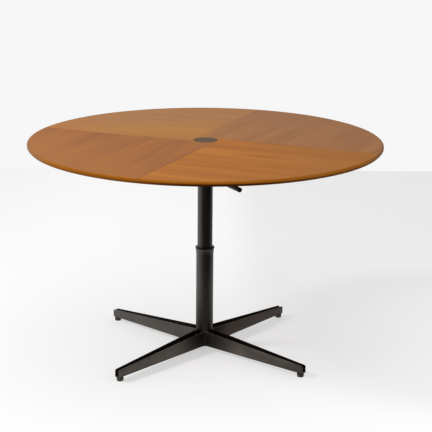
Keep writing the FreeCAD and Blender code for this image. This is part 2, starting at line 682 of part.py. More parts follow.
def make_lever_arm():
    body = new_body("lever_arm")
    nose = "dims.tongue_height / 2"
    ear_end = "(dims.pivot_offset + dims.ear_height / 2)"
    rod_end = "dims.lever_reach - dims.grip_length"
    tongue = new_sketch(body, "tongue")
    add_outline(tongue, ring_corners(f"-{nose}", f"{ear_end}", f"-{nose}", nose))
    extrude(body, tongue, "dims.tongue_width", "flat_tongue", symmetric=True)
    round_edges(body, [line_edge(x=f"-{nose}", z=f"-{nose}"), line_edge(x=f"-{nose}", z=nose)],
                f"{nose} - dims.free_gap / 10", "nose")
    rod = new_sketch(body, "rod")
    add_outline(rod, [
        (ear_end, "0"), (ear_end, "dims.lever_diameter / 2"), (rod_end, "dims.lever_diameter / 2"),
        (rod_end, "dims.lever_tip_diameter / 2"), ("dims.lever_reach", "dims.lever_tip_diameter / 2"),
        ("dims.lever_reach", "0"),
    ])
    revolve(body, rod, "round_rod", "H_Axis")
    hole = new_sketch(body, "pivot_hole")
    add_circle(hole, ("dims.pivot_offset", "0"), "dims.pivot_diameter / 2 + dims.slide_gap")
    extrude(body, hole, "dims.tongue_width * 2", "pivot", cut=True, symmetric=True)
    turn(body, LEVER_TURN, LEVER_LEVEL)


def make_lever_grip():
    body = new_body("lever_grip")
    bore = "dims.lever_tip_diameter / 2 + dims.seat_gap"
    start = "dims.lever_reach - dims.grip_length"
    sketch = new_sketch(body, "sleeve")
    add_outline(sketch, [
        (start, bore), ("dims.lever_reach", bore), ("dims.lever_reach", "dims.grip_diameter / 2"),
        (start, "dims.grip_diameter / 2"),
    ])
    revolve(body, sketch, "sleeve_turned", "H_Axis")
    outside = number("dims.grip_diameter / 2")
    rims = [
        f"Edge{i}" for i, edge in enumerate(body.Tip.Shape.Edges, start=1)
        if isinstance(edge.Curve, Part.Circle) and abs(edge.Curve.Radius - outside) < 1e-4
    ]
    rounding = add_feature(body, "Fillet", "ends")
    rounding.Base = (doc.getObject("lever_grip_sleeve_turned"), rims)
    rounding.setExpression("Radius", "(dims.grip_diameter - dims.lever_tip_diameter) / 4")
    turn(body, LEVER_TURN, LEVER_LEVEL)


# Lock inside the column

def make_release_rod():
    low = f"{CONE_BOTTOM} - dims.nut_height"
    body = turned_piece("release_rod", ring_corners("0", ROD_RADIUS, low, ROD_TOP))
    drill_cross_hole(body)
    turn(body, LEVER_TURN)


def drill_cross_hole(body):
    sketch = new_sketch(body, "cross_hole")
    add_circle(sketch, ("0", f"{COLLAR_LEVEL} + dims.rod_collar_height / 2"),
               "dims.cross_pin_diameter / 2 + dims.seat_gap")
    extrude(body, sketch, "dims.rod_collar_diameter * 2", "cross_pin", cut=True, symmetric=True)


def make_rod_collar():
    bore = f"{ROD_RADIUS} + dims.seat_gap"
    high = f"{COLLAR_LEVEL} + dims.rod_collar_height"
    body = turned_piece("rod_collar", ring_corners(bore, "dims.rod_collar_diameter / 2", COLLAR_LEVEL, high))
    drill_cross_hole(body)
    turn(body, LEVER_TURN)


def make_collar_pin():
    body = new_body("collar_pin")
    sketch = new_sketch(body, "pin")
    add_circle(sketch, ("0", f"{COLLAR_LEVEL} + dims.rod_collar_height / 2"), "dims.cross_pin_diameter / 2")
    extrude(body, sketch, "dims.rod_collar_diameter", "pin_run", symmetric=True)
    turn(body, LEVER_TURN)


def make_rod_guide():
    high = f"{LEVER_LEVEL} - dims.rod_guide_drop"
    low = f"{high} - dims.rod_guide_thickness"
    turned_piece("rod_guide", ring_corners(f"{ROD_RADIUS} + dims.slide_gap", f"{UPPER_BORE} - dims.seat_gap",
                                           low, high))


def make_release_cone():
    bore = f"{ROD_RADIUS} + dims.seat_gap"
    high = f"{CONE_BOTTOM} + dims.cone_length"
    turned_piece("release_cone", [
        (bore, CONE_BOTTOM), ("dims.cone_base / 2", CONE_BOTTOM), ("dims.cone_tip / 2", high), (bore, high),
    ])


def make_cone_nut():
    body = new_body("cone_nut")
    sketch = new_sketch(body, "hexagon", "XY_Plane", f"{CONE_BOTTOM} - dims.nut_height")
    add_hexagon(sketch, "dims.nut_width")
    add_circle(sketch, ("0", "0"), f"{ROD_RADIUS} + dims.seat_gap")
    extrude(body, sketch, "dims.nut_height", "nut")
    turn(body, LEVER_TURN)


def make_collet():
    head = f"{LOWER_BORE} - dims.free_gap / 3"
    groove = f"{head} - dims.ring_depth"
    groove_high = f"{SHOULDER} - dims.collet_land"
    groove_low = f"{groove_high} - dims.ring_height"
    rod_hole = f"{ROD_RADIUS} + dims.free_gap"
    taper_low = f"dims.cone_base / 2 - {CONE_TAPER} * dims.cone_drop + dims.free_gap / 3"
    taper_high = "dims.cone_tip / 2 + dims.free_gap / 3"
    cone_top = f"{CONE_BOTTOM} + dims.cone_length"
    body = turned_piece("collet", [
        (taper_low, JAW_BOTTOM), (head, JAW_BOTTOM), (head, groove_low), (groove, groove_low),
        (groove, groove_high), (head, groove_high), (head, SHOULDER),
        (f"{UPPER_BORE} - dims.seat_gap", SHOULDER), (f"{UPPER_BORE} - dims.seat_gap", SHANK_TOP),
        (rod_hole, SHANK_TOP), (rod_hole, f"{cone_top} + dims.free_gap"),
        (taper_high, f"{cone_top} + dims.free_gap"), (taper_high, cone_top),
    ])
    slot = new_sketch(body, "slot", "XY_Plane", JAW_BOTTOM)
    add_outline(slot, ring_corners("0", f"{LOWER_BORE} + dims.jaw_slot",
                                   "-dims.jaw_slot / 2", "dims.jaw_slot / 2"))
    cut = extrude(body, slot, "dims.jaw_length - dims.collet_land", "jaw_slots", cut=True, reverse=True)
    repeat_around(body, [cut], 6)
    turn(body, LEVER_TURN)


def make_guide_ring():
    outside = f"{LOWER_BORE} - dims.slide_gap"
    inside = f"{LOWER_BORE} - dims.free_gap / 3 - dims.ring_depth + dims.slide_gap"
    high = f"{SHOULDER} - dims.collet_land - dims.slide_gap"
    low = f"{SHOULDER} - dims.collet_land - dims.ring_height + dims.slide_gap"
    body = turned_piece("guide_ring", ring_corners(inside, outside, low, high))
    split = new_sketch(body, "split", "XY_Plane", low)
    add_outline(split, ring_corners(f"{inside} - dims.ring_depth", f"{outside} + dims.ring_depth",
                                    "-dims.jaw_slot / 2", "dims.jaw_slot / 2"))
    extrude(body, split, "dims.ring_height", "split_cut", cut=True, reverse=True)


def make_return_spring():
    body = new_body("return_spring")
    sketch = new_sketch(body, "wire")
    low = f"{SHANK_TOP} + dims.slide_gap"
    inside = "dims.spring_diameter / 2 - dims.wire_width / 2"
    outside = "dims.spring_diameter / 2 + dims.wire_width / 2"
    add_outline(sketch, ring_corners(inside, outside, low, f"{low} + dims.wire_width"))
    coil = add_feature(body, "AdditiveHelix", "coil", sketch)
    coil.ReferenceAxis = (sketch, ["V_Axis"])
    coil.Mode = "height-turns-angle"
    coil.setExpression("Height", "dims.spring_length - dims.wire_width - 2 * dims.slide_gap")
    coil.setExpression("Turns", "dims.spring_turns")
    doc.recompute()
    turn(body, LEVER_TURN)


def build_table():
    fill_sheet()
    make_top_core()
    make_backing_veneer()
    make_top_rim()
    make_centre_disc()
    make_centre_bolt()
    make_top_spider()
    make_spider_screws()
    make_upper_tube()
    make_lower_tube()
    make_guide_sleeve()
    make_tube_plug()
    make_buffer_ring()
    for index in range(4):
        make_veneer_quarter(index)
        make_wing_plate(index)
        make_foot_post(index)
        make_foot_glide(index)
    make_lever_bracket()
    make_clamp_screws()
    make_pivot_pin()
    make_pin_clip()
    make_lever_arm()
    make_lever_grip()
    make_release_rod()
    make_rod_collar()
    make_collar_pin()
    make_rod_guide()
    make_release_cone()
    make_cone_nut()
    make_collet()
    make_guide_ring()
    make_return_spring()
    doc.recompute()


def check_document():
    for item in doc.Objects:
        if "Invalid" in item.State or "Error" in item.State:
            raise RuntimeError(f"{item.Name}: {item.State}")
    for piece in pieces:
        shape = piece.Shape
        if shape.isNull() or not shape.isValid() or not shape.Solids:
            raise RuntimeError(f"{piece.Label} has no valid solid")


def write_parts():
    os.makedirs("parts", exist_ok=True)
    for piece in pieces:
        piece.Shape.exportStep(f"parts/{piece.Label}.step")
        solids = len(piece.Shape.Solids)
        print(f"{piece.Label}: {solids} solid(s), {piece.Shape.Volume / 1000:.2f} cm3")


build_table()
check_document()
write_parts()
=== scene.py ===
import math

import bpy
from mathutils import Matrix, Vector


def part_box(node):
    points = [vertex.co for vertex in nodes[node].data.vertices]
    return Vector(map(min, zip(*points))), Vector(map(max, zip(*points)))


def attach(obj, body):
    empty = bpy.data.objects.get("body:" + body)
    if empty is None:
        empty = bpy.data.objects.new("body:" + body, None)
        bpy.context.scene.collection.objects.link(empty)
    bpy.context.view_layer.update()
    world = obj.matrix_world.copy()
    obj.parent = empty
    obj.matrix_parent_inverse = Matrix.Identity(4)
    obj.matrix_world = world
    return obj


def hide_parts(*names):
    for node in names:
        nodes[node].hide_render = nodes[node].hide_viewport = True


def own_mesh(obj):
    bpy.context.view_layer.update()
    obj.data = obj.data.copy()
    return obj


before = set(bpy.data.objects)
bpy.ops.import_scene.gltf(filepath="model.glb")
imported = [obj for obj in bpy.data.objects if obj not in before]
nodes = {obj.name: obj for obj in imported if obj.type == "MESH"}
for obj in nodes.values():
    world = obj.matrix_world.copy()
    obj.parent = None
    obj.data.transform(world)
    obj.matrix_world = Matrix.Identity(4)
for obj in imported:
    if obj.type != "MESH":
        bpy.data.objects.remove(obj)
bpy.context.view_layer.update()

# where the photograph was taken from, in metres and degrees around the column
photoView = {
    "turn": 40.76,        # the base's arms against the picture plane
    "distance": 4.536,
    "height": 1.698,
    "tilt": 15.064,       # looking down
    "aim": 0.474,         # a little to the right of the column
    "roll": 0.491,
    "lens": 113.9,
}


def fromPhoto(right, away, up):
    return Matrix.Rotation(math.radians(photoView["turn"]), 4, "Z") @ Vector((right, away, up))


def screen(red, green, blue):
    def linear(level):
        share = level / 255.0
        return share / 12.92 if share <= 0.04045 else ((share + 0.055) / 1.055) ** 2.4
    return (linear(red), linear(green), linear(blue))


# node sockets that add up like numbers

class Wire:
    def __init__(self, graph, socket):
        self.graph = graph
        self.socket = socket

    def calc(self, operation, *others):
        return self.graph.node("ShaderNodeMath", {"operation": operation}, dict(enumerate((self,) + others)))

    def other(self, name):
        return Wire(self.graph, self.socket.node.outputs[name])

    def __add__(self, value):
        return self.calc("ADD", value)

    def __mul__(self, value):
        return self.calc("MULTIPLY", value)

    def __sub__(self, value):
        return self.calc("SUBTRACT", value)

    def __rsub__(self, value):
        return self.calc("MULTIPLY_ADD", -1.0, value)

    def __truediv__(self, value):
        return self.calc("DIVIDE", value)

    def __abs__(self):
        return self.calc("ABSOLUTE")

    __radd__ = __add__
    __rmul__ = __mul__


class Graph:
    def __init__(self, tree):
        self.tree = tree

    def node(self, kind, settings=None, inputs=None, out=0):
        made = self.tree.nodes.new(kind)
        for name, value in (settings or {}).items():
            if name == "stops":
                stops = made.color_ramp.elements
                stops.remove(stops[1])
                stops[0].position = value[0][0]
                stops[0].color = (*value[0][1], 1.0)
                for place, colour in value[1:]:
                    stops.new(place).color = (*colour, 1.0)
            else:
                setattr(made, name, value)
        for name, value in (inputs or {}).items():
            if isinstance(value, Wire):
                self.tree.links.new(value.socket, made.inputs[name])
            else:
                made.inputs[name].default_value = value
        return Wire(self, made.outputs[out])

    def feed(self, target, wire):
        self.tree.links.new(wire.socket, target)

    def split(self, place):
        first = self.node("ShaderNodeSeparateXYZ", None, {0: place}, out="X")
        return first, first.other("Y"), first.other("Z")

    def stretch(self, place, scale):
        return self.node("ShaderNodeVectorMath", {"operation": "MULTIPLY"}, {0: place, 1: scale})

    def toward(self, place, direction):
        inputs = {0: place, 1: direction}
        return self.node("ShaderNodeVectorMath", {"operation": "DOT_PRODUCT"}, inputs, out="Value")

    def length(self, place):
        return self.node("ShaderNodeVectorMath", {"operation": "LENGTH"}, {0: place}, out="Value")

    def noise(self, place, scale, detail=2.0, roughness=0.5):
        spread = self.stretch(place, scale)
        return self.node("ShaderNodeTexNoise", None,
                         {"Vector": spread, "Scale": 1.0, "Detail": detail, "Roughness": roughness})

    def band(self, value, low, high):
        return self.node("ShaderNodeMapRange", {"interpolation_type": "SMOOTHSTEP"},
                         {"Value": value, "From Min": low, "From Max": high})

    def blend(self, share, first, second):
        inputs = {0: share}
        for place, colour in ((6, first), (7, second)):
            inputs[place] = colour if isinstance(colour, Wire) else (*colour, 1.0)
        return self.node("ShaderNodeMix", {"data_type": "RGBA"}, inputs, out=2)

    def ramp(self, value, stops):
        return self.node("ShaderNodeValToRGB", {"stops": stops}, {0: value})


class Finish(Graph):
    def __init__(self, name, constants):
        self.material = bpy.data.materials.new(name)
        self.material.use_nodes = True
        super().__init__(self.material.node_tree)
        self.shader = self.tree.nodes["Principled BSDF"]
        for socket, value in constants.items():
            self.shader.inputs[socket].default_value = value
        self.place = self.node("ShaderNodeTexCoord", out="Object")

    def paint(self, **wires):
        sockets = {"colour": "Base Color", "roughness": "Roughness", "metal": "Metallic"}
        for name, wire in wires.items():
            self.feed(self.shader.inputs[sockets[name]], wire)
        return self.material

    def relief(self, height, depth, strength):
        bump = self.node("ShaderNodeBump", None, {"Height": height, "Distance": depth, "Strength": strength})
        self.feed(self.shader.inputs["Normal"], bump)


# finishes

veneerLook = {
    "roughness": 0.48,
    "gloss": 0.03,
    "leafWidth": 0.19,     # sheets of veneer laid side by side
    "leafTone": 0.08,      # how much they differ
    "jointAngle": 17.4,    # the first joint between quarters
    "jointBeside": 0.040,  # the joints pass the disc on one side
    "glue": screen(84, 48, 24),
    "glueLine": (0.0003, 0.0008),
    "lightShiftStrength": 0.7,
    "quarters": [          # grain in degrees, and painted light and sheen: the colour shifts towards a side as seen from the camera, lighter to the left, darker to the right, greyer at the back
        {"grain": 107.4, "seed": 0.0,
         "light": screen(183, 128, 76), "mid": screen(172, 118, 75), "deep": screen(154, 105, 69),
         "fades": [{"toward": (0.6, 0.8), "reach": (0.15, 0.55), "colour": screen(163, 115, 79)}]},
        {"grain": 17.4, "seed": 3.1,
         "light": screen(200, 140, 72), "mid": screen(184, 125, 66), "deep": screen(158, 104, 60),
         "fades": [{"toward": (0.0, 1.0), "reach": (0.08, 0.45), "colour": screen(173, 125, 84)},
                   {"toward": (-1.0, -0.3), "reach": (0.20, 0.52), "colour": screen(180, 119, 68)}]},
        {"grain": 107.4, "seed": 6.7,
         "light": screen(188, 121, 58), "mid": screen(166, 106, 60), "deep": screen(138, 86, 56),
         "fades": [{"toward": (-0.85, -0.53), "reach": (0.22, 0.50), "colour": screen(177, 115, 62)}]},
        {"grain": 17.4, "seed": 9.4,
         "light": screen(205, 131, 52), "mid": screen(187, 116, 50), "deep": screen(158, 96, 46),
         "fades": [{"toward": (1.0, 0.0), "reach": (0.05, 0.45), "colour": screen(168, 110, 55)}],
         "cloud": {"spot": (0.303, -0.071), "half": (0.15, 0.032), "share": 0.8,
                   "colour": screen(146, 92, 47)}},
    ],
}


def veneerFinish(index):
    look = veneerLook["quarters"][index]
    finish = Finish(f"veneer{index + 1}", {"Specular IOR Level": veneerLook["gloss"]})
    turned = finish.node("ShaderNodeMapping", None, {
        "Vector": finish.place, "Rotation": (0, 0, -math.radians(look["grain"])),
        "Location": (look["seed"], look["seed"] * 0.37, 0)})
    along, straight, _ = finish.split(turned)
    across = straight + finish.noise(turned, (0.9, 2.2, 1.0)) * 0.05    # the grain wanders a little
    bent = finish.node("ShaderNodeCombineXYZ", None, {"X": along, "Y": across})
    leaf = finish.node("ShaderNodeTexWhiteNoise", {"noise_dimensions": "1D"},
                       {"W": (across / veneerLook["leafWidth"]).calc("FLOOR")})
    broad = finish.noise(bent, (1.1, 13.0, 1.0), 3.0, 0.55)
    streaks = finish.noise(bent, (3.2, 150.0, 1.0), 4.0, 0.65)
    fibres = finish.noise(bent, (14.0, 900.0, 1.0), 2.0, 0.6)
    pores = finish.band(finish.noise(bent, (95.0, 2400.0, 1.0), 1.0), 0.60, 0.72)
    tone = broad * 0.55 + streaks * 0.34 + fibres * 0.12 + leaf * veneerLook["leafTone"] - 0.05
    colour = finish.ramp(tone, [(0.33, look["deep"]), (0.50, look["mid"]), (0.67, look["light"])])
    # painted light and sheen: each quarter's colour shifts towards one side
    for toneShift in look["fades"]:
        side = finish.toward(finish.place, fromPhoto(*toneShift["toward"], 0))
        lightShiftShare = finish.band(side + (broad - 0.5) * 0.3, *toneShift["reach"])
        colour = finish.blend(lightShiftShare * veneerLook["lightShiftStrength"], colour, toneShift["colour"])
    if "cloud" in look:
        colour = cloudedGrain(finish, look, colour, streaks)
    colour = finish.blend(pores * 0.25, colour, look["deep"])
    seam = seamMask(finish)
    colour = finish.blend(seam * 0.55, colour, veneerLook["glue"])
    roughness = veneerLook["roughness"] + pores * 0.12 + (streaks - 0.5) * 0.10
    finish.relief(fibres * 0.25 - pores - seam, 0.00012, 0.6)
    return finish.paint(colour=colour, roughness=roughness)


def cloudedGrain(finish, look, colour, streaks):
    # one dark cloud in the figure, longer along the grain and broken up by it
    cloud = look["cloud"]
    near = finish.node("ShaderNodeMapping", {"vector_type": "TEXTURE"}, {
        "Vector": finish.stretch(finish.place, (1.0, 1.0, 0.0)), "Location": (*cloud["spot"], 0),
        "Rotation": (0, 0, math.radians(look["grain"])), "Scale": (*cloud["half"], 1.0)})
    middle = 1.0 - finish.band(finish.length(near), 0.0, 1.0)
    share = middle * finish.band(streaks, 0.30, 0.62) * cloud["share"]
    return finish.blend(share, colour, cloud["colour"])


def seamMask(finish):
    # the glue line along both straight sides of a quarter
    square = finish.node("ShaderNodeMapping", None, {
        "Vector": finish.place, "Rotation": (0, 0, -math.radians(veneerLook["jointAngle"]))})
    along, across, _ = finish.split(square)
    first = abs(across * along.calc("SIGN") - veneerLook["jointBeside"])
    second = abs(along * across.calc("SIGN") + veneerLook["jointBeside"])
    return 1.0 - finish.band(first.calc("MINIMUM", second), *veneerLook["glueLine"])


rimLook = {
    "segments": 8,
    "roughness": 0.40,
    "gloss": 0.02,
    "light": screen(188, 117, 38),
    "mid": screen(170, 100, 24),
    "deep": screen(142, 80, 15),
    "pore": screen(70, 36, 12),
    "aged": screen(122, 74, 26),       # painted shade on the side away from the light
    "stain": screen(60, 22, 2),        # painted shade, darker below the nose
    "noseLevels": (0.7335, 0.7365),
    "crown": screen(190, 121, 44),     # painted highlight where the edge turns over
    "crownLevels": (0.7370, 0.7430),
    "grazingSheen": screen(140, 107, 78),    # painted reflection of the wall: greyer on the far side and at both ends
}


def rimFinish():
    # solid wood segments glued end to end, grain running around the edge
    finish = Finish("rimWood", {"Specular IOR Level": rimLook["gloss"]})
    spotX, spotY, level = finish.split(finish.place)
    angle = spotY.calc("ARCTAN2", spotX)
    radius = (spotX * spotX + spotY * spotY).calc("SQRT")
    strip = finish.node("ShaderNodeCombineXYZ", None,
                        {"X": angle * 0.6, "Y": radius + level * 0.8, "Z": level})
    broad = finish.noise(strip, (2.0, 60.0, 40.0), 3.0, 0.55)
    streaks = finish.noise(strip, (7.0, 420.0, 260.0), 3.0, 0.6)
    pores = finish.band(finish.noise(strip, (110.0, 2000.0, 1600.0), 1.0), 0.62, 0.74)
    turnShare = angle * (rimLook["segments"] / math.tau)
    butt = finish.band(abs(turnShare - turnShare.calc("FLOOR") - 0.5), 0.4988, 0.4996)
    tone = broad * 0.6 + streaks * 0.4
    colour = finish.ramp(tone, [(0.25, rimLook["deep"]), (0.5, rimLook["mid"]), (0.75, rimLook["light"])])
    lightSide = finish.toward(finish.place, fromPhoto(-1.0, 0, 0))
    farSide = finish.toward(finish.place, fromPhoto(0, 1.0, 0))
    # painted highlight along the top of the edge, weaker far to the left
    crown = finish.band(level, *rimLook["crownLevels"]) * (1.0 - finish.band(lightSide, 0.10, 0.45) * 0.5)
    colour = finish.blend(crown * 0.6, colour, rimLook["crown"])
    # painted shade on the side away from the light
    colour = finish.blend((1.0 - finish.band(lightSide, -0.35, 0.25)) * 0.22, colour, rimLook["aged"])
    # painted shade below the nose, weakest on the side toward the light and a little weaker at the far right
    lightShiftShare = finish.band(lightSide, -0.02, 0.36) * 0.78
    kept = 1.0 - lightShiftShare - (1.0 - finish.band(lightSide, -0.40, -0.05)) * 0.4
    shaded = 1.0 - finish.band(level, *rimLook["noseLevels"])
    colour = finish.blend(shaded * kept * 0.95, colour, rimLook["stain"])
    # painted reflection of the wall at grazing angles
    grazingSheen = finish.band(farSide, -0.10, 0.30).calc("MAXIMUM", finish.band(abs(lightSide), 0.48, 0.58))
    colour = finish.blend(grazingSheen * 0.65, colour, rimLook["grazingSheen"])
    colour = finish.blend(pores * 0.3 + butt * 0.4, colour, rimLook["pore"])
    finish.relief(streaks * 0.3 - pores - butt, 0.00015, 0.6)
    return finish.paint(colour=colour, roughness=rimLook["roughness"] + pores * 0.1 + (streaks - 0.5) * 0.1)


boardLook = {
    "roughness": 0.55,
    "gloss": 0.2,
    "light": screen(164, 114, 74),
    "mid": screen(146, 98, 60),
    "deep": screen(120, 76, 44),
    "pore": screen(92, 58, 34),
}


def boardFinish():
    # plain veneer on the underside and board edges
    finish = Finish("undersideWood", {"Specular IOR Level": boardLook["gloss"]})
    broad = finish.noise(finish.place, (1.3, 16.0, 6.0), 3.0, 0.55)
    streaks = finish.noise(finish.place, (5.0, 240.0, 60.0), 4.0, 0.62)
    pores = finish.band(finish.noise(finish.place, (90.0, 1900.0, 400.0), 1.0), 0.62, 0.74)
    tone = broad * 0.6 + streaks * 0.4
    colour = finish.ramp(tone, [(0.3, boardLook["deep"]), (0.5, boardLook["mid"]), (0.7, boardLook["light"])])
    colour = finish.blend(pores * 0.4, colour, boardLook["pore"])
    finish.relief(streaks * 0.3 - pores, 0.00015, 0.6)
    return finish.paint(colour=colour, roughness=boardLook["roughness"] + (streaks - 0.5) * 0.15)


enamelLook = {
    "column": {"dark": screen(11, 10, 7), "worn": screen(23, 21, 16), "wear": (90.0, 90.0, 2.5),
               "roughness": 0.27},
    "sleeve": {"dark": screen(13, 11, 8), "worn": screen(26, 23, 18), "wear": (90.0, 90.0, 2.5),
               "roughness": 0.27,
               "sootTop": (0.06, 0.24),       # painted shade: darker, duller reflections up to here
               "lip": (0.3570, 0.3600)},      # painted highlight along the lip at the mouth
    "arms": {"dark": screen(51, 45, 41), "worn": screen(82, 75, 68), "wear": (12.0, 12.0, 30.0),
             "roughness": 0.36},
    "wings": [             # how pale each plate is (painted light and shade: lit and shaded copies of one enamel), how glossy, and how far from the column its painted shade reaches
        {"pale": (0.62, 0.44, 0.34), "gloss": 0.18, "soot": (0.030, 0.125)},
        {"pale": (1.0, 1.0, 1.0), "gloss": 0.5, "soot": (0.030, 0.125)},
        {"pale": (0.92, 0.92, 0.92), "gloss": 0.5, "soot": (0.020, 0.045)},
        {"pale": (1.1, 1.1, 1.1), "gloss": 0.52, "soot": (0.040, 0.190)},
    ],
    "posts": {"gloss": 0.5, "soot": (0.0, 0.030)},
    "sheen": (1.0, 0.955, 0.87, 1.0),
    "rust": screen(70, 52, 38),
    # bare metal at rubbed edges, and painted highlight on the plates' edges by the column and on the sleeve's
    # lip
    "bare": screen(112, 100, 88),
    # painted shade by the column, in the crease of the plates
    "soot": screen(24, 20, 17),
    "inside": screen(15, 13, 12),      # painted shade between the plates, with dirt there too
}
armSize = {
    "reach": 0.438, "column": 0.030, "hubTop": 0.066, "endTop": 0.0405,
    "rootHalf": 0.02025, "endHalf": 0.0095,
    "innerSide": (-0.0034, -0.0016),   # from a plate's outer side
    "lowEdge": (0.0110, 0.0116),
    "topEdge": (-0.0012, -0.0003),     # from a plate's upper edge
    "endEdge": (0.4368, 0.4376),
}


def enamelFinish(name, look, gloss):
    # dark satin enamel with a faint orange peel, rubbed streaks and small chips
    finish = Finish(name, {"Specular IOR Level": gloss, "Specular Tint": enamelLook["sheen"]})
    cloud = finish.noise(finish.place, (9.0, 9.0, 9.0), 4.0, 0.6)
    rubbed = finish.noise(finish.place, look["wear"], 4.0, 0.65)
    scratch = finish.noise(finish.place, tuple(level * 28.0 for level in look["wear"]))
    chips = finish.band(finish.noise(finish.place, (160.0, 160.0, 160.0), 2.0, 0.7), 0.70, 0.76)
    peel = finish.noise(finish.place, (620.0, 620.0, 620.0))
    share = finish.band(cloud * 0.5 + rubbed * 0.5, 0.36, 0.68)
    colour = finish.blend(share, look["dark"], look["worn"])
    layers = {"roughness": look["roughness"] + share * 0.12 + (scratch - 0.5) * 0.14 + chips * 0.2}
    # painted shade by the column and between the plates, also as darker reflections
    if "soot" in look:
        colour, shadeAndDirt = wingWearAndShade(finish, colour, rubbed, look["soot"])
        layers = {"roughness": layers["roughness"] + shadeAndDirt * 0.25, "metal": shadeAndDirt * 0.75}
    # painted shade low on the sleeve, as darker reflections
    if "sootTop" in look:
        _, _, height = finish.split(finish.place)
        layers["metal"] = (1.0 - finish.band(height, *look["sootTop"])) * 0.75
        # painted highlight on the lip
        colour = finish.blend(finish.band(height, *look["lip"]) * 0.45, colour, enamelLook["bare"])
    colour = finish.blend(chips * 0.5, colour, enamelLook["rust"])
    finish.relief(peel * 0.35 + scratch * 0.25 - chips * 0.8, 0.00009, 0.5)
    return finish.paint(colour=colour, **layers)


def wingWearAndShade(finish, colour, rubbed, hubShadeReach):
    # painted shade by the column and between the plates, with some dirt between them, and metal showing along
    # their upper and end edges, with a painted highlight on the edges by the column
    spotX, spotY, height = finish.split(finish.place)
    run = abs(spotX).calc("MAXIMUM", abs(spotY))
    beside = abs(spotX).calc("MINIMUM", abs(spotY))
    narrowing = (armSize["rootHalf"] - armSize["endHalf"]) / (armSize["reach"] - armSize["rootHalf"])
    within = beside + (run - armSize["rootHalf"]) * narrowing - armSize["rootHalf"]
    # painted shade in the recess between the plates
    inside = (1.0 - finish.band(within, *armSize["innerSide"])) * finish.band(height, *armSize["lowEdge"])
    drop = (armSize["hubTop"] - armSize["endTop"]) / (armSize["reach"] - armSize["column"])
    belowEdge = height + run * drop - (armSize["hubTop"] + armSize["column"] * drop)
    topEdge = finish.band(belowEdge, *armSize["topEdge"])
    edge = topEdge.calc("MAXIMUM", finish.band(run, *armSize["endEdge"]))
    # painted shade by the column
    soot = 1.0 - finish.band(run, *hubShadeReach)
    colour = finish.blend(soot * 0.85, colour, enamelLook["soot"])
    colour = finish.blend(inside * 0.9, colour, enamelLook["inside"])
    # rubbed wear, and a painted highlight on the edges close to the column
    wearAndHighlight = finish.band(rubbed, 0.42, 0.62).calc("MAXIMUM", 1.0 - finish.band(run, 0.045, 0.090))
    baredAndHighlit = edge * wearAndHighlight * (1.0 - inside) * 0.6
    return finish.blend(baredAndHighlit, colour, enamelLook["bare"]), soot.calc("MAXIMUM", inside)


steelLook = {"light": screen(190, 188, 184), "dark": screen(132, 128, 122), "roughness": 0.34}


def steelFinish():
    # plain turned steel, a little stained
    finish = Finish("brightSteel", {"Metallic": 1.0})
    rings = finish.noise(finish.place, (60.0, 60.0, 1400.0), 3.0, 0.6)
    stain = finish.noise(finish.place, (40.0, 40.0, 40.0), 3.0, 0.6)
    colour = finish.blend(finish.band(stain, 0.35, 0.7), steelLook["dark"], steelLook["light"])
    finish.relief(rings, 0.00003, 0.4)
    return finish.paint(colour=colour, roughness=steelLook["roughness"] + (rings - 0.5) * 0.2)


leverLook = {
    "roughness": 0.38,
    "dark": screen(38, 36, 34),
    "worn": screen(66, 62, 58),
    "tip": screen(104, 100, 96),
    "tipStart": (0.016, 0.012),    # back from the grip's far corner
}


def leverFinish():
    # blackened rod whose turned tip shows bright in the end of the grip
    farCorner = max(Vector(corner).to_2d().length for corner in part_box("lever_grip"))
    finish = Finish("blackenedRod", {"Metallic": 1.0})
    length = finish.length(finish.stretch(finish.place, (1.0, 1.0, 0.0)))
    bright = finish.band(length, *(farCorner - back for back in leverLook["tipStart"]))
    stain = finish.noise(finish.place, (70.0, 70.0, 70.0), 3.0, 0.6)
    marks = finish.noise(finish.place, (500.0, 900.0, 900.0), 2.0, 0.6)
    colour = finish.blend(stain * 0.6, leverLook["dark"], leverLook["worn"])
    colour = finish.blend(bright, colour, leverLook["tip"])
    finish.relief(marks, 0.00004, 0.4)
    return finish.paint(colour=colour, roughness=leverLook["roughness"] + (marks - 0.5) * 0.2 - bright * 0.1)


plasticLook = {
    "blackPlastic": {"base": screen(6, 6, 6), "roughness": 0.42, "gloss": 0.2},
    "guidePlastic": {"base": screen(8, 8, 8), "roughness": 0.30, "gloss": 0.5},
    "brownGlide": {"base": screen(52, 40, 31), "roughness": 0.5, "gloss": 0.2},
    "stopRubber": {"base": screen(26, 26, 26), "roughness": 0.75, "gloss": 0.2},
}


def plasticFinish(name):
    # moulded skin, mottled and scuffed
    look = plasticLook[name]
    finish = Finish(name, {"Specular IOR Level": look["gloss"]})
    mottle = finish.noise(finish.place, (30.0, 30.0, 30.0), 3.0, 0.6)
    skin = finish.noise(finish.place, (1500.0, 1500.0, 1500.0))
    scuff = finish.band(finish.noise(finish.place, (210.0, 210.0, 60.0), 3.0, 0.7), 0.58, 0.74)
    lighter = tuple(min(1.0, level * 1.6 + 0.003) for level in look["base"])
    colour = finish.blend(mottle * 0.5 + scuff * 0.4, look["base"], lighter)
    finish.relief(skin * 0.6 - scuff * 0.3, 0.00005, 0.5)
    return finish.paint(colour=colour, roughness=look["roughness"] + scuff * 0.15 + (mottle - 0.5) * 0.1)


discLook = {
    "roughness": 0.42,
    "gloss": 0.04,
    "dark": screen(82, 64, 47),
    "light": screen(116, 95, 72),
    "edge": screen(48, 36, 28),
    "edgeRing": (0.0388, 0.0402),
}


